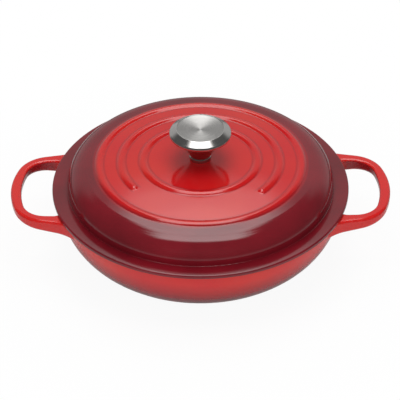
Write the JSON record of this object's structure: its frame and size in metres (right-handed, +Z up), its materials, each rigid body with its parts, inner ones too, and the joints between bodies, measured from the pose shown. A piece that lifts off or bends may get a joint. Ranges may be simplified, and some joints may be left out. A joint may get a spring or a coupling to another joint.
{
  "type": "braiser",
  "caption": "Wide shallow cast-iron braising pan with loop handles cast on its rim and a domed lid that lifts off by a steel knob.",
  "frame": {"origin": "middle of the base, on the flat surface that the pot stands on", "axes": "+Z up through the knob, +X along the line through the two loop handles, +Y away from the viewer of the picture"},
  "size_m": [0.354, 0.276, 0.125],
  "materials": {
    "pot_enamel": "gloss",
    "lid_enamel": "gloss",
    "knob_polished": "polished",
    "knob_brushed": "satin",
    "insert_steel": "satin",
    "screw_steel": "satin",
    "washer_steel": "satin",
    "lock_washer_steel": "satin"
  },
  "bodies": {
    "pot": {"pot": "pot_enamel"},
    "lid": {"lid": "lid_enamel", "knob_body": "knob_polished", "knob_cap": "knob_brushed", "knob_insert": "insert_steel", "knob_screw": "screw_steel", "flat_washer": "washer_steel", "lock_washer": "lock_washer_steel"}
  },
  "joints": [
    {"name": "lid_lift", "type": "slide", "parent": "pot", "child": "lid", "axis": [0, 0, 1], "range_m": [0, 0.12]}
  ]
}
